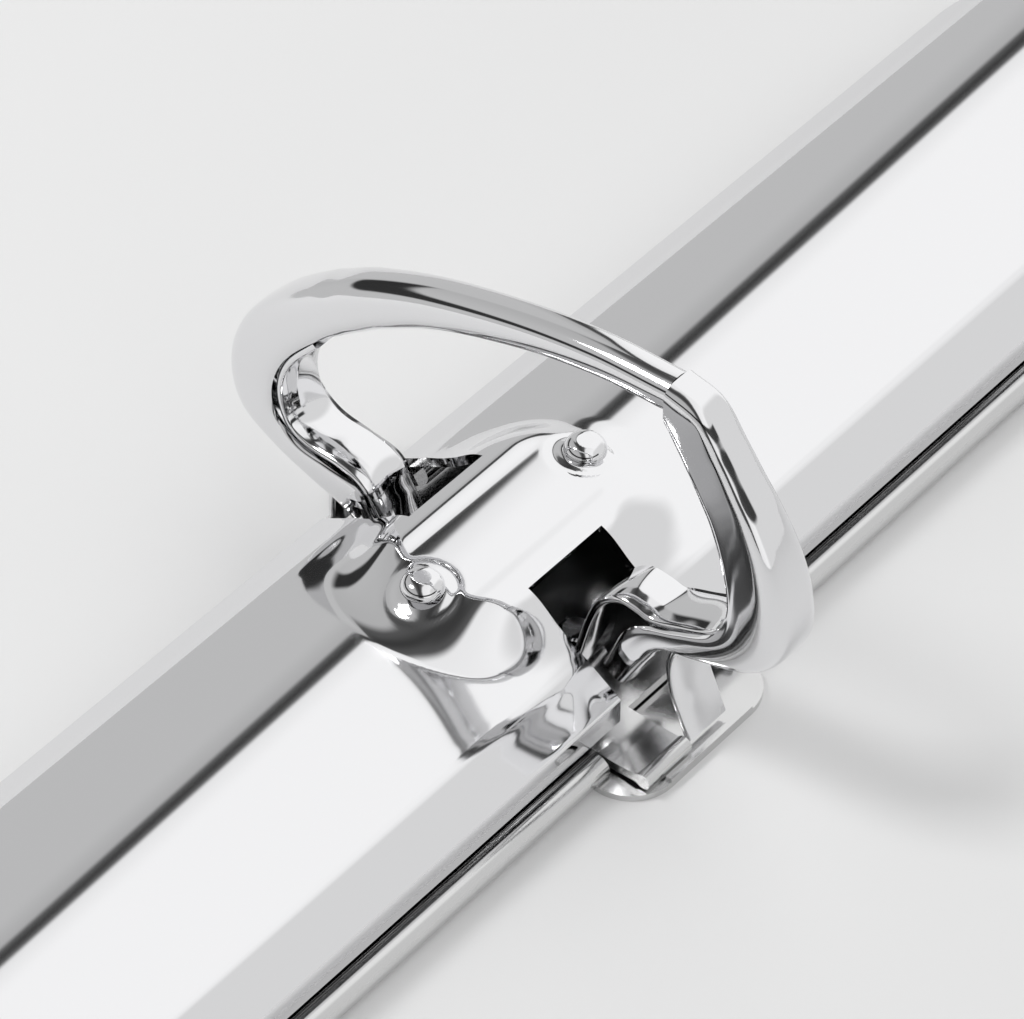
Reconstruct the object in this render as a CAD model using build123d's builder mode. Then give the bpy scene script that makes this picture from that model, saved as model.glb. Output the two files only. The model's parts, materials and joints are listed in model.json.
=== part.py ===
"""Ring-binder mechanism: one two-piece D ring on a stamped steel spine.

Frame: +Y along the spine, +X across it, +Z up, origin on the table under the middle of the ring.
The slanted half of the ring is on the +X side, the curved half on the -X side. Millimetres.
"""
import os
from math import hypot, radians, tan

from build123d import *

# ---- cover ----
spine_length = 170.0            # along Y
cover_half_width = 15.2         # centre line to the outside of the lip
cover_sheet = 0.8
lip_bottom = 3.1                # underside of the lip above the table
lip_height = 2.4
crest_height = 10.0             # top of the plain cover above the table
crease_half_width = 11.5        # where the arch gives way to the straight flank
crease_height = 7.8
end_radius = 9.0                # plan radius of the cover's corners

# ---- embossed dome round the ring ----
dome_half_length = 12.5         # diamond plan at the top of the skirt: along Y
dome_half_width = 11.5          # and along X
dome_nose_radius = 4.0
dome_height = 12.0
shoulder_half_width = 6.0
shoulder_height = 11.6
dome_draft = 45.0               # slope of the skirt, from vertical

# ---- notches for the legs ----
notch_inner = 6.0               # from here out through the lip
notch_half_length = 4.4
notch_corner_radius = 1.0
notch_reach = 6.0               # past the cover's edge

# ---- base plate ----
base_sheet = 0.6
bead_radius = 1.15              # rolled edge, each side
bead_centre_x = cover_half_width + 0.5
bead_gap_half = 7.6             # the bead stops here, each side of the ring
ear_past_pivot = 1.3            # ear under each foot of the ring, past its hinge line
ear_half_length = 9.0
ear_radius = 4.0
rim_height = 0.9                # upturned edge of the ear
end_gap = 3.0                   # the base stops short of the cover's end
base_gap = 0.6                  # floor's edge to the bead's centre

# ---- ring ----
ring_width = 5.9                # along Y, at the legs
ring_top_width = 3.1            # along Y, at the joint
ring_sheet = 0.6
joint_x = 16.4                  # where the two halves meet
joint_gap = 0.05                # each side of the joint
ring_top = 37.0
taper_low = 15.0                # the walls draw in between these heights
taper_high = 28.0

# ---- flat legs nested in the ring's channel ----
leg_side_gap = 0.1              # between the leg and each wall of the channel
leg_width = ring_width - 2 * ring_sheet - 2 * leg_side_gap
leg_sheet = 0.7
bend_radius = 0.9

# ---- toggle plates under the cover ----
plate_sheet = 0.8
plate_rest = 0.85               # underside above the table
plate_half_length = 70.0
plate_outer = 13.9
plate_centre_gap = 0.15         # each side of the centre line

# ---- hinge line and what stands on it ----
right_pivot_x = 19.5            # the slanted half stands further out
left_pivot_x = 16.8
pivot_height = 1.45
foot_bead_radius = 0.7
foot_near = -1.5                # the ring's foot, along Y
foot_far = 3.0
tab_near = -7.0                 # the toggle plate's tab, along Y
tab_far = -1.8

# ---- dome rivets and the leaf spring they hold ----
rivet_pitch = 19.5              # along Y
rivet_radius = 1.0
rivet_clearance = 0.05
rivet_head_radius = 1.75
rivet_head_height = 1.1
rivet_tail_radius = 1.6
rivet_tail_height = 0.5
spring_sheet = 0.5
spring_half_width = 2.2
spring_half_length = 11.1
spring_seat = 0.15              # between the dome's underside and the spring
spring_flat = 3.2               # flat at each end, under its rivet
spring_sag = 2.2                # middle of the spring below its ends

# ---- mounting eyelets and their spacers ----
eyelet_pitch = 150.0            # along Y
eyelet_bore = 2.1               # radius
eyelet_wall = 0.4
eyelet_flange = 3.9             # radius
eyelet_flange_sheet = 0.6
spacer_wall = 0.8
spacer_relief = 0.25            # the spacer's top clears the arch of the cover

# ---- rivets that hold the legs to the toggle plates ----
leg_rivet_radius = 0.7
leg_rivet_head = 1.15
leg_rivet_head_height = 0.4
leg_rivet_pitch = 2.7
leg_pad_x = 6.2                 # middle of the leg's flat pad
leg_pad_half = 1.8

# ---- derived ----
lip_top = lip_bottom + lip_height
half_length = spine_length / 2
plate_top = plate_rest + plate_sheet
rivet_places = [(0, -rivet_pitch / 2), (0, rivet_pitch / 2)]
eyelet_places = [(0, -eyelet_pitch / 2), (0, eyelet_pitch / 2)]
crown_under = crest_height - cover_sheet
dome_under = dome_height - cover_sheet

os.makedirs("parts", exist_ok=True)


def section_solid(knee_x, knee_z, top_z, drop):
    """Cover section extruded along the spine: arch, straight flanks, upright lips."""
    side = cover_half_width - drop
    with BuildPart() as solid:
        with BuildSketch(Plane.XZ):
            with BuildLine():
                ThreePointArc((-knee_x, knee_z - drop), (0, top_z - drop), (knee_x, knee_z - drop))
                Polyline((knee_x, knee_z - drop), (side, lip_top - 0.6 * drop), (side, lip_bottom),
                         (-side, lip_bottom), (-side, lip_top - 0.6 * drop), (-knee_x, knee_z - drop))
            make_face()
        extrude(amount=half_length, both=True)
    return solid.part


def dome_solid(drop):
    """Embossed dome: rounded-diamond plan with sloping skirts, topped by its own section."""
    skirt = dome_height - lip_bottom
    spread = skirt * tan(radians(dome_draft)) - 0.4 * drop
    side = hypot(dome_half_length, dome_half_width)
    end_y = dome_half_length + spread * side / dome_half_width
    end_x = dome_half_width + spread * side / dome_half_length
    top = section_solid(shoulder_half_width, shoulder_height, dome_height, drop)
    with BuildPart() as dome:
        with BuildSketch(Plane.XY.offset(lip_bottom)) as plan:
            with BuildLine():
                Polyline((-end_x, 0), (0, -end_y), (end_x, 0), (0, end_y), close=True)
            make_face()
            noses = [v for v in plan.vertices() if abs(v.X) < 1]
            fillet(noses, radius=dome_nose_radius + spread)
        extrude(amount=skirt, taper=dome_draft)
        add(top, mode=Mode.INTERSECT)
    return dome.part


def cover_solid(drop):
    plain = section_solid(crease_half_width, crease_height, crest_height, drop)
    dome = dome_solid(drop)
    with BuildPart() as solid:
        add(plain)
        add(dome)
    return solid.part


def pegs(radius, low, high, places):
    """Upright round bars between two heights, one for each place."""
    with BuildPart() as bars:
        with BuildSketch(Plane.XY.offset(low)):
            with Locations(*places):
                Circle(radius)
        extrude(amount=high - low)
    return bars.part


def strip(path, thickness, plane, length, radius=bend_radius):
    """Sheet bent along a path on a plane and extruded along the plane's normal."""
    with BuildPart() as sheet:
        with BuildSketch(plane):
            with BuildLine():
                FilletPolyline(*path, radius=radius)
            trace(line_width=thickness)
        extrude(amount=length)
    return sheet.part


def across(near, far):
    """Plane to draw a side view on at one place along Y, and the length to the other place."""
    return Plane.XZ.offset(-near), near - far


def flip(part):
    """The same piece on the other side of the spine."""
    return part.mirror(Plane.YZ)


def save(part, name):
    part.label = name
    export_step(part, f"parts/{name}.step")


def ring_face(outer, inner):
    """Side view of one ring half between its outer and inner lines, given as x, z and bend radius."""
    with BuildSketch(Plane.XZ) as face:
        with BuildLine():
            FilletPolyline(*[(x, z) for x, z, r in outer], radius=[r for x, z, r in outer[1:-1]])
            FilletPolyline(*[(x, z) for x, z, r in inner], radius=[r for x, z, r in inner[1:-1]])
            Line(outer[0][:2], inner[0][:2])
            Line(outer[-1][:2], inner[-1][:2])
        make_face()
    return face.sketch


def width_solid(inset):
    """How wide the ring is at each height: full at the legs, drawn in towards the joint."""
    low = ring_width / 2 - inset
    high = ring_top_width / 2 - inset
    top = ring_top + ring_width
    with BuildPart() as solid:
        with BuildSketch(Plane.YZ):
            with BuildLine():
                Polyline((high, top), (high, taper_high), (low, taper_low), (low, 0), (-low, 0),
                         (-low, taper_low), (-high, taper_high), (-high, top), close=True)
            make_face()
        extrude(amount=4 * cover_half_width, both=True)
    return solid.part


def ring_channel(face, mouth, inset):
    """Solid of a ring half, drawn in by inset from its crown, end and walls."""
    width = width_solid(inset)
    with BuildPart() as channel:
        with BuildSketch(Plane.XZ):
            add(face)
            if inset:
                with BuildLine():
                    Polyline(*mouth, close=True)
                make_face()
                offset(amount=-inset)
        extrude(amount=ring_width, both=True)
        add(width, mode=Mode.INTERSECT)
    return channel.part


# ---- cover: one stamped sheet with lips, dome, notches and holes ----
cover_outside = cover_solid(0)
cover_inside = cover_solid(cover_sheet)
cover_rivet_holes = pegs(rivet_radius + rivet_clearance, lip_bottom, dome_height + 1, rivet_places)
cover_eyelet_holes = pegs(eyelet_bore + eyelet_wall + rivet_clearance, -1, dome_height, eyelet_places)
with BuildPart() as cover:
    add(cover_outside)
    with BuildSketch(Plane.XY.offset(lip_bottom - 1)):
        RectangleRounded(2 * cover_half_width, spine_length, end_radius)
    extrude(amount=dome_height, mode=Mode.INTERSECT)
    add(cover_inside, mode=Mode.SUBTRACT)
    with BuildSketch(Plane.XY.offset(lip_bottom - 1)):
        notch_length = cover_half_width + notch_reach - notch_inner
        with Locations((notch_inner + notch_length / 2, 0), (-notch_inner - notch_length / 2, 0)):
            RectangleRounded(notch_length, 2 * notch_half_length, notch_corner_radius)
    extrude(amount=dome_height, mode=Mode.SUBTRACT)
    add(cover_rivet_holes, mode=Mode.SUBTRACT)
    add(cover_eyelet_holes, mode=Mode.SUBTRACT)

# ---- base plate: flat floor, rolled edges and an ear under each foot of the ring ----
with BuildPart() as base_plate:
    with BuildSketch():
        RectangleRounded(2 * (bead_centre_x - base_gap), spine_length - 2 * end_gap,
                         end_radius - end_gap)
        ear_left = left_pivot_x + ear_past_pivot
        ear_right = right_pivot_x + ear_past_pivot
        with Locations(((ear_right - ear_left) / 2, 0)):
            RectangleRounded(ear_right + ear_left, 2 * ear_half_length, ear_radius)
    extrude(amount=base_sheet)
    for side in (-1, 1):
        for low, high in ((-half_length + end_radius, -bead_gap_half),
                          (bead_gap_half, half_length - end_radius)):
            with BuildSketch(Plane.XZ.offset(-low)):
                with Locations((side * bead_centre_x, bead_radius)):
                    Circle(bead_radius)
            extrude(amount=low - high)
    with BuildSketch(Plane.XY.offset(base_sheet)):
        with Locations((ear_right - base_sheet / 2, 0), (-ear_left + base_sheet / 2, 0)):
            Rectangle(base_sheet, 2 * (ear_half_length - ear_radius))
    extrude(amount=rim_height - base_sheet)
    add(cover_eyelet_holes, mode=Mode.SUBTRACT)

# ---- toggle plates: long flat rails with a tab that reaches out to the hinge line ----
leg_rivet_places = [(leg_pad_x, -leg_rivet_pitch / 2), (leg_pad_x, leg_rivet_pitch / 2)]
leg_rivet_holes = pegs(leg_rivet_radius + rivet_clearance, 0, plate_top + leg_sheet + 1,
                       leg_rivet_places)
tab_side, tab_length = across(tab_near, tab_far)
foot_side, foot_length = across(foot_near, foot_far)


def toggle_plate(pivot_x):
    """Toggle plate for the +X side, turning about the line at pivot_x."""
    middle = plate_rest + plate_sheet / 2
    tab = strip([(plate_outer - 1.5, middle), ((plate_outer + pivot_x) / 2, middle),
                 (pivot_x, pivot_height)], plate_sheet, tab_side, tab_length)
    with BuildPart() as plate:
        with BuildSketch(Plane.XY.offset(plate_rest)):
            with Locations(((plate_outer + plate_centre_gap) / 2, 0)):
                Rectangle(plate_outer - plate_centre_gap, 2 * plate_half_length)
        extrude(amount=plate_sheet)
        add(tab)
        with BuildSketch(tab_side):
            with Locations((pivot_x, pivot_height)):
                Circle(foot_bead_radius)
        extrude(amount=tab_length)
        add(leg_rivet_holes, mode=Mode.SUBTRACT)
    return plate.part


# ---- ring halves: stamped channels open to the inside, closed towards the joint ----
left_outer = [(-13.8, 4.6, 0), (-27.6, 10.2, 5.0), (-25.8, 20.8, 16.0), (-9.0, 33.8, 50.0),
              (joint_x - joint_gap, ring_top, 0)]
left_inner = [(-10.6, 6.4, 0), (-12.6, 9.9, 1.2), (-21.3, 9.6, 2.8), (-20.8, 17.2, 8.0),
              (-10.0, 26.9, 30.0), (3.0, 31.9, 50.0), (joint_x - joint_gap, ring_top - 3.0, 0)]
left_mouth = [(-10.0, 2.0), (-22.5, 10.5), (-22.5, 14.5), (-17.0, 22.5), (-13.0, 24.0), (0, 20),
              (0, 2.0)]
right_outer = [(14.2, 4.6, 0), (17.4, 11.0, 1.5), (29.6, 14.8, 4.5), (28.8, 23.5, 18.0),
               (19.6, ring_top, 1.8), (joint_x + joint_gap, ring_top, 0)]
right_inner = [(11.6, 6.0, 0), (14.0, 12.2, 1.2), (24.2, 16.4, 3.2), (22.4, 24.4, 6.0),
               (joint_x + joint_gap, 32.6, 0)]
right_mouth = [(11.0, 2.0), (17.5, 12.0), (24.6, 15.4), (25.5, 21.0), (20.5, 28.5), (12.0, 30.0),
               (5.0, 10.0)]

left_face = ring_face(left_outer, left_inner)
left_whole = ring_channel(left_face, left_mouth, 0)
left_hollow = ring_channel(left_face, left_mouth, ring_sheet)
left_foot = strip([(-16.6, 6.1), (-16.9, 4.4), (-left_pivot_x, pivot_height)], plate_sheet,
                  foot_side, foot_length)
with BuildPart() as left_ring_shell:
    add(left_whole)
    add(left_hollow, mode=Mode.SUBTRACT)
    add(left_foot)
    with BuildSketch(foot_side):
        with Locations((-left_pivot_x, pivot_height)):
            Circle(foot_bead_radius)
    extrude(amount=foot_length)

right_face = ring_face(right_outer, right_inner)
right_whole = ring_channel(right_face, right_mouth, 0)
right_hollow = ring_channel(right_face, right_mouth, ring_sheet)
right_foot = strip([(18.3, 11.6), (17.3, 7.2), (right_pivot_x, pivot_height)], plate_sheet,
                   foot_side, foot_length)
with BuildPart() as right_ring_shell:
    add(right_whole)
    add(right_hollow, mode=Mode.SUBTRACT)
    add(right_foot)
    with BuildSketch(foot_side):
        with Locations((right_pivot_x, pivot_height)):
            Circle(foot_bead_radius)
    extrude(amount=foot_length)

# ---- legs: flat strips from the toggle plates up through the notches into the channels ----
leg_z = plate_top + leg_sheet / 2
pad_start = leg_pad_x - leg_pad_half
pad_end = leg_pad_x + leg_pad_half
leg_side = across(-leg_width / 2, leg_width / 2)
left_leg_path = [(-pad_start, leg_z), (-pad_end - 0.6, leg_z), (-13.1, 9.35), (-21.8, 9.1),
                 (-21.4, 17.5), (-17.3, 21.2)]
right_leg_path = [(pad_start, leg_z), (pad_end + 0.2, leg_z), (10.2, 9.5), (13.2, 13.9),
                  (16.4, 12.6), (24.5, 16.0), (22.9, 24.4), (20.8, 27.6)]
left_strip = strip(left_leg_path, leg_sheet, *leg_side, [0.9, 1.5, 3.2, 6.0])
right_strip = strip(right_leg_path, leg_sheet, *leg_side, [0.9, 4.0, 1.2, 1.0, 3.6, 5.0])
leg_room = width_solid((ring_width - leg_width) / 2)
with BuildPart() as left_leg:
    add(left_strip)
    add(leg_room, mode=Mode.INTERSECT)
    add(flip(leg_rivet_holes), mode=Mode.SUBTRACT)
with BuildPart() as right_leg:
    add(right_strip)
    add(leg_room, mode=Mode.INTERSECT)
    add(leg_rivet_holes, mode=Mode.SUBTRACT)

with BuildPart() as right_leg_rivets:
    for low, height, radius in (
            (plate_rest - leg_rivet_head_height / 2, leg_rivet_head_height / 2, leg_rivet_head),
            (plate_rest, plate_sheet + leg_sheet, leg_rivet_radius),
            (plate_top + leg_sheet, leg_rivet_head_height, leg_rivet_head)):
        with BuildSketch(Plane.XY.offset(low)):
            with Locations(*leg_rivet_places):
                Circle(radius)
        extrude(amount=height)

# ---- leaf spring under the dome, and the two domed rivets that hold it ----
spring_z = dome_under - spring_seat - spring_sheet / 2
spring_path = [(-spring_half_length, spring_z), (-spring_half_length + spring_flat, spring_z),
               (-1.5, spring_z - spring_sag), (1.5, spring_z - spring_sag),
               (spring_half_length - spring_flat, spring_z), (spring_half_length, spring_z)]
spring_blank = strip(spring_path, spring_sheet, Plane.YZ.offset(-spring_half_width),
                     2 * spring_half_width, 3.0)
with BuildPart() as leaf_spring:
    add(spring_blank)
    with BuildSketch(Plane.XY.offset(lip_bottom)):
        RectangleRounded(2 * spring_half_width, 2 * spring_half_length, spring_half_width - 0.01)
    extrude(amount=dome_height, mode=Mode.INTERSECT)
    add(cover_rivet_holes, mode=Mode.SUBTRACT)


def dome_rivet(y):
    """Domed rivet: rounded head on the cover, shank through cover and spring, upset tail below."""
    tail = spring_z - spring_sheet / 2
    with BuildPart() as rivet:
        for low, high, radius in ((tail - rivet_tail_height, tail, rivet_tail_radius),
                                  (tail, dome_height, rivet_radius),
                                  (dome_height, dome_height + rivet_head_height, rivet_head_radius)):
            with BuildSketch(Plane.XY.offset(low)):
                with Locations((0, y)):
                    Circle(radius)
            extrude(amount=high - low)
        fillet(rivet.edges().group_by(Axis.Z)[-1], radius=0.95 * rivet_head_height)
    return rivet.part


# ---- mounting eyelets through cover and base, with the spacers that keep them apart ----
def eyelet(y):
    with BuildPart() as tube:
        with BuildSketch():
            with Locations((0, y)):
                Circle(eyelet_bore + eyelet_wall)
        extrude(amount=crest_height)
        with BuildSketch(Plane.XY.offset(crest_height)):
            with Locations((0, y)):
                Circle(eyelet_flange)
        extrude(amount=eyelet_flange_sheet)
        fillet(tube.edges().group_by(Axis.Z)[-1], radius=0.7 * eyelet_flange_sheet)
        with BuildSketch():
            with Locations((0, y)):
                Circle(eyelet_bore)
        extrude(amount=2 * crest_height, mode=Mode.SUBTRACT)
    return tube.part


def spacer(y):
    inner = eyelet_bore + eyelet_wall + rivet_clearance
    with BuildPart() as tube:
        with BuildSketch(Plane.XY.offset(base_sheet)):
            with Locations((0, y)):
                Circle(inner + spacer_wall)
                Circle(inner, mode=Mode.SUBTRACT)
        extrude(amount=crown_under - spacer_relief - base_sheet)
    return tube.part


for part, name in ((cover.part, "cover"), (base_plate.part, "base_plate"),
                   (toggle_plate(right_pivot_x), "right_toggle_plate"),
                   (flip(toggle_plate(left_pivot_x)), "left_toggle_plate"),
                   (left_ring_shell.part, "left_ring_shell"),
                   (right_ring_shell.part, "right_ring_shell"),
                   (left_leg.part, "left_leg"), (right_leg.part, "right_leg"),
                   (right_leg_rivets.part, "right_leg_rivets"),
                   (flip(right_leg_rivets.part), "left_leg_rivets"),
                   (leaf_spring.part, "leaf_spring"),
                   (dome_rivet(rivet_places[0][1]), "front_dome_rivet"),
                   (dome_rivet(rivet_places[1][1]), "rear_dome_rivet"),
                   (eyelet(eyelet_places[0][1]), "front_eyelet"),
                   (eyelet(eyelet_places[1][1]), "rear_eyelet"),
                   (spacer(eyelet_places[0][1]), "front_spacer"),
                   (spacer(eyelet_places[1][1]), "rear_spacer")):
    save(part, name)
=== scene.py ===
import json
import math

import bmesh
import bpy
import mathutils
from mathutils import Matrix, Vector

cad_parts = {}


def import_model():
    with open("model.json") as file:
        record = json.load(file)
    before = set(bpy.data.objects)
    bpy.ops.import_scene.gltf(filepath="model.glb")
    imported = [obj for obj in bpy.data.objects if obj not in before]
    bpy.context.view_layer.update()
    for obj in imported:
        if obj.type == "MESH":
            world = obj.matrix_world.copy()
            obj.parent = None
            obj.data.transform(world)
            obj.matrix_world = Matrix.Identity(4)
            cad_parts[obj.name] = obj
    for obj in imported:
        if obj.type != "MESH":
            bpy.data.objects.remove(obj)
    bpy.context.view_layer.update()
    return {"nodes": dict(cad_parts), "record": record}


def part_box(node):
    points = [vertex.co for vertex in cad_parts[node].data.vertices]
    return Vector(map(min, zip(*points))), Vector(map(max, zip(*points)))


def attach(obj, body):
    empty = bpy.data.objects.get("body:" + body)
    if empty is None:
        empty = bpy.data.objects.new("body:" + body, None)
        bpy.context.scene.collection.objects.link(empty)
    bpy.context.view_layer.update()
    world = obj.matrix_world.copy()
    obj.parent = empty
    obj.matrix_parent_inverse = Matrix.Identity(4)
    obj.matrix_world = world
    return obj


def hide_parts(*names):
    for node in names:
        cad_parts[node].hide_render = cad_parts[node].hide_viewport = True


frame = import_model()

MM = 0.001
IMAGE_W, IMAGE_H = 1024, 1019

# ---- camera: the spine runs away to the upper right, seen from 45 degrees above ----
AZIMUTH, ELEVATION = 40.0, 45.0
LENS, SENSOR = 180.0, 36.0
DISTANCE = 0.395
ANCHOR = Vector((0.0, 0.0, 11.6 * MM))      # dome shoulder on the ring's plane
ANCHOR_AT = (-0.0068, -0.0112)              # where it shows, as shares of the image width from centre


def set_camera():
    az, el = math.radians(AZIMUTH), math.radians(ELEVATION)
    back = Vector((math.sin(az) * math.cos(el), -math.cos(az) * math.cos(el), math.sin(el)))
    right = Vector((math.cos(az), math.sin(az), 0.0))
    up = back.cross(right)
    width_there = DISTANCE * SENSOR / LENS
    data = bpy.data.cameras.new("camera")
    data.lens, data.sensor_width, data.sensor_fit = LENS, SENSOR, "HORIZONTAL"
    data.clip_start, data.clip_end = 0.01, 10.0
    camera = bpy.data.objects.new("camera", data)
    bpy.context.scene.collection.objects.link(camera)
    offset = right * (ANCHOR_AT[0] * width_there) + up * (ANCHOR_AT[1] * width_there)
    camera.location = ANCHOR + back * DISTANCE - offset
    camera.rotation_euler = back.to_track_quat("Z", "Y").to_euler()
    bpy.context.scene.camera = camera


# ---- materials ----
def new_material(name):
    material = bpy.data.materials.new(name)
    material.use_nodes = True
    nodes, links = material.node_tree.nodes, material.node_tree.links
    return material, nodes, links, nodes["Principled BSDF"]


def metal(name, colour, roughness, ripple, ripple_scale, smudge=0.05):
    """Plated steel: polished, with faint long-wave ripple in its reflections and soft smudges."""
    material, nodes, links, shader = new_material(name)
    shader.inputs["Base Color"].default_value = (*colour, 1.0)
    shader.inputs["Metallic"].default_value = 1.0
    coords = nodes.new("ShaderNodeTexCoord")
    wave = nodes.new("ShaderNodeTexNoise")
    wave.inputs["Scale"].default_value = ripple_scale
    wave.inputs["Detail"].default_value = 1.5
    links.new(coords.outputs["Object"], wave.inputs["Vector"])
    bump = nodes.new("ShaderNodeBump")
    bump.inputs["Strength"].default_value = ripple
    bump.inputs["Distance"].default_value = 0.0004
    links.new(wave.outputs["Fac"], bump.inputs["Height"])
    links.new(bump.outputs["Normal"], shader.inputs["Normal"])
    haze = nodes.new("ShaderNodeTexNoise")
    haze.inputs["Scale"].default_value = 9 * ripple_scale
    haze.inputs["Detail"].default_value = 4.0
    links.new(coords.outputs["Object"], haze.inputs["Vector"])
    spread = nodes.new("ShaderNodeMapRange")
    spread.inputs["To Min"].default_value = roughness * (1 - smudge)
    spread.inputs["To Max"].default_value = roughness * (1 + smudge) + 0.01
    links.new(haze.outputs["Fac"], spread.inputs["Value"])
    links.new(spread.outputs["Result"], shader.inputs["Roughness"])
    return material


COVER = metal("cover_chrome", (0.80, 0.80, 0.81), 0.05, 0.10, 30.0)
RING = metal("ring_chrome", (0.80, 0.80, 0.81), 0.06, 0.08, 60.0)
RIVET = metal("rivet_chrome", (0.80, 0.80, 0.81), 0.05, 0.05, 80.0)
PLATE = metal("plate_nickel", (0.66, 0.66, 0.66), 0.16, 0.12, 50.0, 0.3)
SPRING = metal("spring_steel", (0.45, 0.45, 0.46), 0.28, 0.15, 90.0, 0.4)
BY_SLOT = {"cover_chrome": COVER, "ring_chrome": RING, "rivet_chrome": RIVET,
           "plate_nickel": PLATE, "spring_steel": SPRING}


def dress_cad():
    slots = {s["node"]: s["material_slot"] for s in frame["record"]["subparts"]}
    for name, node in frame["nodes"].items():
        material = BY_SLOT[slots[name]]
        for i in range(len(node.material_slots)):
            node.material_slots[i].material = material
        if not node.material_slots:
            node.data.materials.append(material)


# ---- shared mesh helpers ----
def add_object(name, vertices, faces, material, body, smooth_angle=40.0, closed=True):
    mesh = bpy.data.meshes.new(name)
    mesh.from_pydata([tuple(c * MM for c in v) for v in vertices], [], faces)
    mesh.validate()
    bm = bmesh.new()
    bm.from_mesh(mesh)
    bmesh.ops.remove_doubles(bm, verts=bm.verts, dist=1e-7)
    if closed:
        bmesh.ops.recalc_face_normals(bm, faces=bm.faces)
    for edge in bm.edges:
        sharp = len(edge.link_faces) != 2 or edge.calc_face_angle(0) > math.radians(smooth_angle)
        edge.smooth = not sharp
    for face in bm.faces:
        face.smooth = True
    bm.to_mesh(mesh)
    bm.free()
    mesh.materials.append(material)
    piece = bpy.data.objects.new(name, mesh)
    bpy.context.scene.collection.objects.link(piece)
    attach(piece, body)
    return piece


def smoothstep(low, high, value):
    t = min(max((value - low) / (high - low), 0.0), 1.0)
    return t * t * (3 - 2 * t)


def spline(points, count):
    """Even samples of a Catmull-Rom curve through given points of any dimension."""
    ends = [[2 * a - b for a, b in zip(points[0], points[1])]]
    tail = [[2 * a - b for a, b in zip(points[-1], points[-2])]]
    path = ends + [list(q) for q in points] + tail
    fine = []
    for i in range(1, len(path) - 2):
        p0, p1, p2, p3 = path[i - 1:i + 3]
        for k in range(40):
            t = k / 40
            fine.append([0.5 * (2 * b + (c - a) * t + (2 * a - 5 * b + 4 * c - d) * t * t
                                + (3 * b - a - 3 * c + d) * t ** 3)
                         for a, b, c, d in zip(p0, p1, p2, p3)])
    fine.append(list(points[-1]))
    lengths = [0.0]
    for a, b in zip(fine, fine[1:]):
        lengths.append(lengths[-1] + math.dist(a[:2], b[:2]))
    out, j = [], 0
    for k in range(count):
        want = lengths[-1] * k / (count - 1)
        while j < len(fine) - 2 and lengths[j + 1] < want:
            j += 1
        span = max(lengths[j + 1] - lengths[j], 1e-9)
        t = min(max((want - lengths[j]) / span, 0.0), 1.0)
        out.append([a + (b - a) * t for a, b in zip(fine[j], fine[j + 1])])
    return out


# ---- ring halves: stamped channels that roll shut into a tube towards the joint ----
RING_SHEET = 0.55
SECTION_STEPS = 40


def section(width, depth, roundness, wrap, inset):
    """Half-open rounded section: y across the ring, h from its inner edge to its crown."""
    half_w, half_d = width / 2 - inset, depth / 2 - inset
    points = []
    for k in range(SECTION_STEPS + 1):
        angle = math.pi * wrap * (2 * k / SECTION_STEPS - 1)
        c, s = math.cos(angle), math.sin(angle)
        power = 2 / roundness
        points.append((math.copysign(abs(s) ** power, s) * half_w,
                       depth / 2 + math.copysign(abs(c) ** power, c) * half_d))
    return points


def rolled_channel(name, node, body, stations, count):
    """Sweep through stations of inner x, z, outer x, z, width, roundness and wrap."""
    rows = spline([[(s[0] + s[2]) / 2, (s[1] + s[3]) / 2, *s] for s in stations], count)
    vertices, faces = [], []
    ring = 2 * (SECTION_STEPS + 1)
    last = len(rows) - 1
    for i, (_, _, ix, iz, ox, oz, width, roundness, wrap) in enumerate(rows):
        depth = math.hypot(ox - ix, oz - iz)
        ux, uz = (ox - ix) / depth, (oz - iz) / depth
        for inset, order in ((0.0, 1), (RING_SHEET, -1)):
            for y, h in section(width, depth, roundness, min(wrap, 1.0), inset)[::order]:
                vertices.append((ix + ux * h, y, iz + uz * h))
    for i in range(last):
        for k in range(ring):
            a, b = i * ring + k, i * ring + (k + 1) % ring
            faces.append((a, b, b + ring, a + ring))
    faces.append(tuple(range(ring)))
    faces.append(tuple(last * ring + k for k in range(SECTION_STEPS + 1)))
    piece = add_object(name, vertices, faces, RING, body, 50)
    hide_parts(node)
    return piece


def bent_strip(name, body, path, thickness, near, far, count, material=RING):
    """Flat strip with softly rounded edges along a smooth side-view path of x, z (and width share)."""
    rows = spline([list(p) + [1.0] * (3 - len(p)) for p in path], count)
    soft = thickness * 0.28
    vertices, faces = [], []
    for i, (x, z, share) in enumerate(rows):
        x0, z0, _ = rows[max(i - 1, 0)]
        x1, z1, _ = rows[min(i + 1, len(rows) - 1)]
        length = math.hypot(x1 - x0, z1 - z0)
        nx, nz = -(z1 - z0) / length, (x1 - x0) / length
        middle, half = (near + far) / 2, (far - near) / 2 * share
        low, high = middle - half, middle + half
        t = thickness / 2
        outline = ((low + soft, -t), (low, -t + soft), (low, t - soft), (low + soft, t),
                   (high - soft, t), (high, t - soft), (high, -t + soft), (high - soft, -t))
        vertices += [(x + nx * h, y, z + nz * h) for y, h in outline]
    for i in range(len(rows) - 1):
        for k in range(8):
            a, b = i * 8 + k, i * 8 + (k + 1) % 8
            faces.append((a, b, b + 8, a + 8))
    faces.append(tuple(range(8)))
    faces.append(tuple((len(rows) - 1) * 8 + k for k in range(8)))
    return add_object(name, vertices, faces, material, body, 50)


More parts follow.
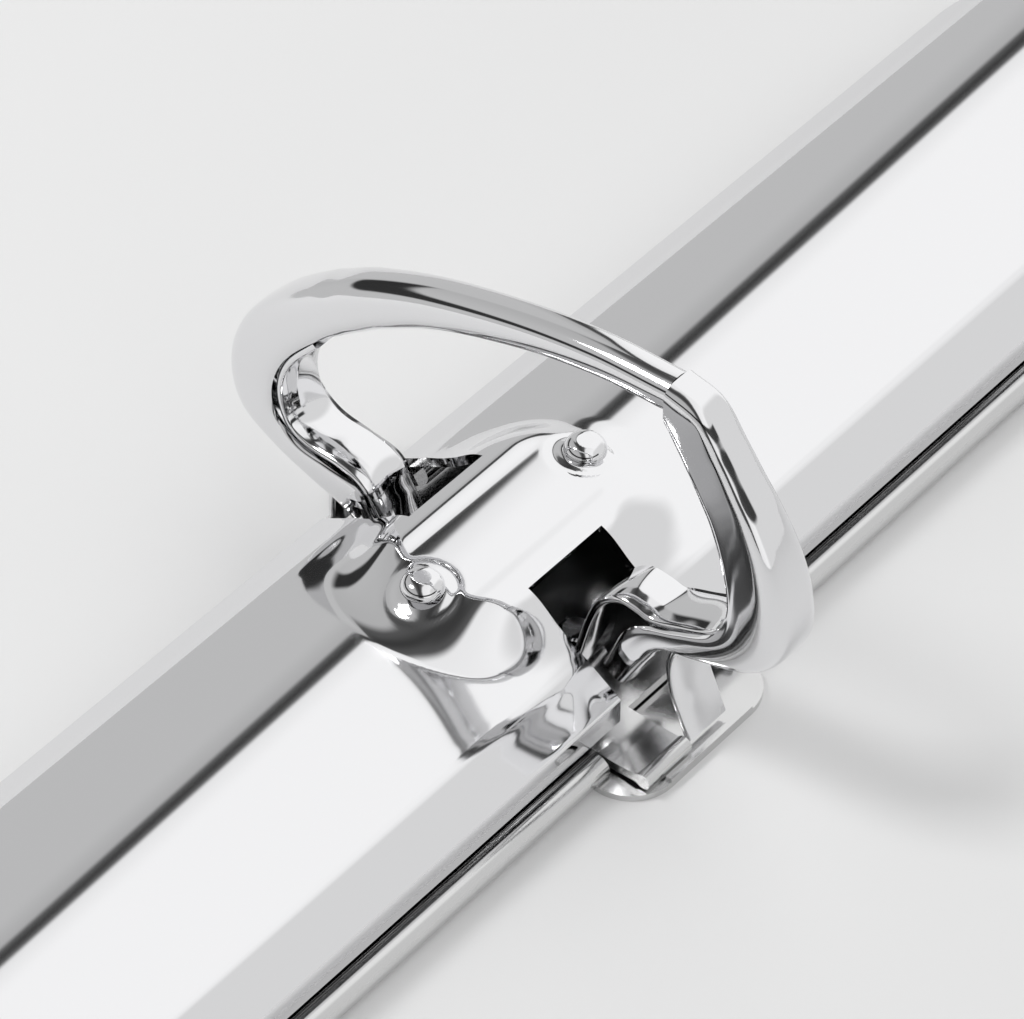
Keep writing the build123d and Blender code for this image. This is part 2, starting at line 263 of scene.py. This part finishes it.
def left_half():
    stations = [
        (-10.8, 6.6, -13.6, 4.9, 5.8, 3.6, 0.70), (-12.6, 9.3, -15.6, 5.7, 5.9, 3.8, 0.70),
        (-15.8, 9.8, -18.3, 6.6, 5.9, 3.8, 0.70), (-18.8, 10.2, -22.4, 8.3, 5.9, 3.6, 0.70),
        (-20.7, 12.0, -25.8, 10.6, 5.9, 3.4, 0.70), (-20.9, 14.6, -26.8, 14.6, 5.8, 3.2, 0.70),
        (-19.6, 17.8, -25.6, 18.9, 5.6, 3.0, 0.71), (-17.0, 21.0, -22.3, 23.0, 5.2, 2.8, 0.74),
        (-14.6, 23.2, -18.6, 26.2, 4.9, 2.6, 0.80), (-13.0, 24.4, -16.6, 27.6, 4.7, 2.5, 0.99),
        (-10.4, 26.2, -13.4, 29.6, 4.4, 2.4, 1.0), (-4.9, 29.2, -6.6, 32.6, 3.9, 2.3, 1.0),
        (3.0, 32.0, 2.0, 35.1, 3.5, 2.3, 1.0), (10.0, 33.5, 9.6, 36.5, 3.3, 2.3, 1.0),
        (16.35, 33.9, 16.35, 36.9, 3.2, 2.3, 1.0)]
    rolled_channel("left_ring_shell_rolled", "left_ring_shell", "left_half", stations, 140)
    leg = [(-4.6, 2.0), (-8.4, 2.05), (-9.6, 3.6), (-11.4, 6.6), (-13.0, 8.8), (-15.4, 9.5),
           (-18.6, 9.7), (-20.6, 11.0), (-21.4, 14.0), (-20.4, 17.4, 0.96), (-17.6, 20.9, 0.88)]
    strip = bent_strip("left_leg_strip", "left_half", leg, 0.7, -2.25, 2.25, 120)
    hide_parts("left_leg")
    bent_strip("left_ring_foot", "left_half", [(-16.4, 6.2), (-16.8, 4.6), (-16.9, 3.0), (-16.8, 1.5)],
               0.8, -1.5, 3.0, 24)


def right_half():
    stations = [
        (16.45, 33.0, 16.45, 36.9, 3.6, 3.6, 1.0), (17.4, 31.4, 19.6, 36.0, 3.8, 4.0, 1.0),
        (18.4, 29.8, 21.9, 33.0, 3.9, 4.0, 1.0), (19.6, 27.9, 23.6, 30.5, 4.1, 4.0, 0.95),
        (20.8, 25.8, 25.2, 28.2, 4.4, 3.8, 0.80), (22.0, 22.8, 27.0, 24.8, 4.9, 3.8, 0.71),
        (22.7, 20.0, 28.1, 21.0, 5.4, 3.8, 0.70), (22.5, 17.8, 28.3, 16.8, 5.7, 3.6, 0.70),
        (21.3, 16.0, 26.2, 13.9, 5.9, 3.6, 0.70), (18.6, 14.4, 21.8, 12.2, 5.9, 3.8, 0.70),
        (15.6, 12.9, 17.9, 10.9, 5.9, 3.8, 0.70), (13.6, 11.0, 16.2, 8.6, 5.9, 3.8, 0.70),
        (11.8, 6.4, 14.2, 4.9, 5.8, 3.6, 0.70)]
    rolled_channel("right_ring_shell_rolled", "right_ring_shell", "right_half", stations[::-1], 120)
    leg = [(4.6, 2.0), (8.0, 2.05), (8.9, 4.2), (10.0, 8.6), (11.2, 11.6), (12.9, 13.1),
           (14.6, 13.2), (16.4, 13.0), (19.0, 14.0), (21.8, 15.4), (23.4, 17.4), (23.5, 20.4),
           (22.8, 23.6, 0.85), (21.2, 26.8, 0.74)]
    strip = bent_strip("right_leg_strip", "right_half", leg, 0.7, -2.25, 2.25, 150)
    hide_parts("right_leg")
    bent_strip("right_ring_foot", "right_half",
               [(18.3, 11.6), (17.5, 8.8), (17.7, 6.0), (18.6, 3.6), (19.5, 1.45)], 0.8, -1.5, 3.0, 40)


# ---- cover: one smooth embossed sheet ----
COVER_LOW, COVER_HIGH = [[c / MM for c in corner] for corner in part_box("cover")]
COVER_HALF, COVER_LENGTH = COVER_HIGH[0], COVER_HIGH[1] - COVER_LOW[1]
CREASE_X, CREASE_Z, CREST, LIP_TOP, LIP_BOTTOM = 11.5, 7.8, 10.0, 5.5, COVER_LOW[2]
SHEET = 0.8
SHOULDER_X, SHOULDER_Z, DOME_Z = 6.0, 11.6, 12.0
DOME_L, DOME_W = 13.2, 13.6


def arch(x, knee_x, knee_z, top, soft):
    """Height of an arch over a straight flank, softened at the knee."""
    ax = abs(x)
    radius = (knee_x ** 2 + (top - knee_z) ** 2) / (2 * (top - knee_z))
    curve = top - radius + math.sqrt(max(radius ** 2 - min(ax, knee_x) ** 2, 0))
    flank = knee_z - (ax - knee_x) * (knee_z - LIP_TOP) / (COVER_HALF - knee_x)
    blend = smoothstep(knee_x - soft, knee_x + soft, ax)
    return curve * (1 - blend) + flank * blend if ax < knee_x + soft else flank


def cover_height(x, y):
    plain = arch(x, CREASE_X, CREASE_Z, CREST, 1.2)
    raised = max(arch(x, SHOULDER_X, SHOULDER_Z, DOME_Z, 3.0), plain)
    out = ((abs(x) / DOME_W) ** 1.8 + (abs(y) / DOME_L) ** 1.8) ** (1 / 1.8)
    return plain + (raised - plain) * (1 - smoothstep(0.64, 1.16, out))


RIVET_Y, COIN_RADIUS = 9.75, 2.6
NOTCH_X, NOTCH_Y = 6.0, 4.4
GRID, LONG_STEP, FINE_LENGTH = 0.25, 2.5, 20.0
ROLL, FLANK_TILT = 0.4, 31.9
END_RADIUS = 9.0


def cover_point(x, y):
    z = cover_height(x, y)
    from_rivet = math.hypot(x, abs(y) - RIVET_Y)
    return z - 0.12 * math.exp(-((from_rivet - COIN_RADIUS) / 0.4) ** 2)


def cover_columns(y):
    """One cross-line of the cover from the right lip over the crest to the left lip."""
    turn = math.radians(90 - FLANK_TILT)
    meet = LIP_TOP + ROLL * (1 - math.cos(turn)) * math.tan(math.radians(FLANK_TILT))
    bend_z = meet - ROLL * math.sin(turn)
    lip = [(COVER_HALF, LIP_BOTTOM + (bend_z - LIP_BOTTOM) * k / 4) for k in range(5)]
    bend = []
    for k in range(1, 6):
        angle = turn * k / 5
        bend.append((COVER_HALF - ROLL * (1 - math.cos(angle)), bend_z + ROLL * math.sin(angle)))
    start_x, start_z = bend[-1]
    drift = start_z - cover_point(start_x, y)
    top = []
    steps = round((start_x - 0.1) / GRID)
    xs = [start_x - (start_x - NOTCH_X) * k / (steps - 24) for k in range(1, steps - 23)]
    xs += [NOTCH_X - GRID * k for k in range(1, 25)]
    for x in xs:
        fade = math.exp(-(start_x - x) / 1.2)
        top.append((x, cover_point(x, y) + drift * fade))
    right = lip + bend + top
    return right + [(-x, z) for x, z in right[:-1]][::-1]


def cover_rows():
    fine = int(FINE_LENGTH / GRID)
    near = {round(GRID * k, 3) for k in range(-fine, fine + 1)} | {-NOTCH_Y, NOTCH_Y}
    near -= {round(side * 4.5, 3) for side in (-1, 1)}
    reach = COVER_LENGTH / 2
    far_count = math.ceil((reach - FINE_LENGTH) / LONG_STEP)
    far = [FINE_LENGTH + (reach - FINE_LENGTH) * k / far_count for k in range(1, far_count + 1)]
    return sorted(near | set(far) | {-y for y in far})


def rounded_end(x, y):
    """Draw the last stretch of the sheet in so that its plan corners are round."""
    beyond = max(abs(x) - (COVER_HALF - END_RADIUS), 0.0)
    drawn_in = END_RADIUS - math.sqrt(END_RADIUS ** 2 - beyond ** 2)
    share = max(abs(y) - FINE_LENGTH, 0.0) / (COVER_LENGTH / 2 - FINE_LENGTH)
    return y - math.copysign(drawn_in * share, y)


def cover_piece():
    rows = cover_rows()
    vertices = [(x, rounded_end(x, y), z) for y in rows for x, z in cover_columns(y)]
    width = len(vertices) // len(rows)
    columns = cover_columns(0.0)
    faces = []
    for i in range(len(rows) - 1):
        middle_y = (rows[i] + rows[i + 1]) / 2
        for k in range(width - 1):
            middle_x = (columns[k][0] + columns[k + 1][0]) / 2
            if abs(middle_y) < NOTCH_Y and abs(middle_x) > NOTCH_X:
                continue
            a = i * width + k
            faces.append((a, a + width, a + width + 1, a + 1))
    sheet = add_object("cover_sheet", vertices, faces, COVER, "spine", 60, False)
    solid = sheet.modifiers.new("sheet", "SOLIDIFY")
    solid.thickness = SHEET * MM
    solid.offset = -1.0
    edges = sheet.modifiers.new("edges", "BEVEL")
    edges.width = 0.12 * MM
    edges.segments = 2
    edges.limit_method = "ANGLE"
    edges.angle_limit = math.radians(60)
    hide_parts("cover")


# ---- studio ----
def emitter(name, size, place, aim, strength, shade=1.0):
    data = bpy.data.lights.new(name, "AREA")
    data.shape, data.size, data.size_y = "RECTANGLE", *size
    data.energy = strength
    data.color = (shade, shade, shade)
    lamp = bpy.data.objects.new(name, data)
    bpy.context.scene.collection.objects.link(lamp)
    lamp.location = place
    lamp.rotation_euler = (Vector(aim) - Vector(place)).to_track_quat("-Z", "Y").to_euler()
    return lamp


def floor():
    mesh = bpy.data.meshes.new("floor")
    half = 0.45
    mesh.from_pydata([(-half, -half, 0), (half, -half, 0), (half, half, 0), (-half, half, 0)], [],
                     [(0, 1, 2, 3)])
    plane = bpy.data.objects.new("floor", mesh)
    bpy.context.scene.collection.objects.link(plane)
    material, nodes, links, shader = new_material("floor_white")
    shader.inputs["Base Color"].default_value = (0.93, 0.93, 0.93, 1.0)
    shader.inputs["Roughness"].default_value = 0.7
    mesh.materials.append(material)


def mapped(nodes, links, value, low, high, at_low, at_high, kind="SMOOTHSTEP"):
    node = nodes.new("ShaderNodeMapRange")
    node.interpolation_type = kind
    settings = (("From Min", low), ("From Max", high), ("To Min", at_low), ("To Max", at_high))
    for name, number in settings:
        node.inputs[name].default_value = number
    links.new(value, node.inputs["Value"])
    return node.outputs["Result"]


def product(nodes, links, first, second):
    node = nodes.new("ShaderNodeMath")
    node.operation = "MULTIPLY"
    links.new(first, node.inputs[0])
    links.new(second, node.inputs[1])
    return node.outputs["Value"]


def world():
    """Pale studio: white on the right, grey on the left, and one dark strip between them."""
    scene = bpy.context.scene
    scene.world = scene.world or bpy.data.worlds.new("world")
    scene.world.use_nodes = True
    nodes, links = scene.world.node_tree.nodes, scene.world.node_tree.links
    background = nodes["Background"]
    coords = nodes.new("ShaderNodeTexCoord")
    across = nodes.new("ShaderNodeVectorMath")
    across.operation = "DOT_PRODUCT"
    across.inputs[1].default_value = (0.796, 0.568, 0.205)
    links.new(coords.outputs["Generated"], across.inputs[0])
    split = nodes.new("ShaderNodeSeparateXYZ")
    links.new(coords.outputs["Generated"], split.inputs["Vector"])
    width = nodes.new("ShaderNodeMapRange")
    width.interpolation_type = "SMOOTHSTEP"
    for name, value in (("From Min", 0.30), ("From Max", 0.42), ("To Min", 0.17), ("To Max", 0.024)):
        width.inputs[name].default_value = value
    links.new(split.outputs["Y"], width.inputs["Value"])
    ratio = nodes.new("ShaderNodeMath")
    ratio.operation = "DIVIDE"
    links.new(across.outputs["Value"], ratio.inputs[0])
    links.new(width.outputs["Result"], ratio.inputs[1])
    place = nodes.new("ShaderNodeMapRange")
    place.inputs["From Min"].default_value = -5.0
    place.inputs["From Max"].default_value = 5.0
    links.new(ratio.outputs["Value"], place.inputs["Value"])
    ramp = nodes.new("ShaderNodeValToRGB")
    ramp.color_ramp.interpolation = "EASE"
    tones = ((0.0, 0.60), (0.34, 0.52), (0.42, 0.10), (0.50, 0.05), (0.57, 0.10), (0.64, 1.0),
             (1.0, 1.10))
    while len(ramp.color_ramp.elements) < len(tones):
        ramp.color_ramp.elements.new(0.5)
    for element, (where, tone) in zip(ramp.color_ramp.elements, tones):
        element.position = where
        element.color = (tone, tone, tone, 1.0)
    links.new(place.outputs["Result"], ramp.inputs["Fac"])
    flank = mapped(nodes, links, across.outputs["Value"], 0.62, 0.80, 1.0, 0.74)
    height = nodes.new("ShaderNodeMath")
    height.operation = "SUBTRACT"
    height.inputs[1].default_value = 0.30
    links.new(split.outputs["Z"], height.inputs[0])
    off_band = nodes.new("ShaderNodeMath")
    off_band.operation = "ABSOLUTE"
    links.new(height.outputs["Value"], off_band.inputs[0])
    band = mapped(nodes, links, off_band.outputs["Value"], 0.07, 0.13, 0.94, 0.0)
    side = mapped(nodes, links, split.outputs["Y"], 0.28, 0.38, 1.0, 0.0)
    dark = product(nodes, links, band, side)
    left_over = mapped(nodes, links, dark, 0.0, 1.0, 1.0, 0.0, "LINEAR")
    level = product(nodes, links, flank, left_over)
    studio = nodes.new("ShaderNodeVectorMath")
    studio.operation = "SCALE"
    links.new(ramp.outputs["Color"], studio.inputs[0])
    links.new(level, studio.inputs["Scale"])
    path = nodes.new("ShaderNodeLightPath")
    seen = nodes.new("ShaderNodeMixRGB")
    seen.inputs["Color2"].default_value = (0.92, 0.92, 0.92, 1.0)
    links.new(path.outputs["Is Camera Ray"], seen.inputs["Fac"])
    links.new(studio.outputs["Vector"], seen.inputs["Color1"])
    links.new(seen.outputs["Color"], background.inputs["Color"])
    background.inputs["Strength"].default_value = 1.0
    scene.view_settings.view_transform = "Standard"


def key_light():
    lamp = bpy.data.lights.new("key", "AREA")
    lamp.energy = 1.1
    lamp.size = 0.16
    light = bpy.data.objects.new("key", lamp)
    light.location = (-0.30, -0.22, 0.50)
    light.rotation_euler = mathutils.Vector(light.location).to_track_quat("Z", "Y").to_euler()
    bpy.context.scene.collection.objects.link(light)


set_camera()
dress_cad()
left_half()
right_half()
cover_piece()
floor()
world()
key_light()
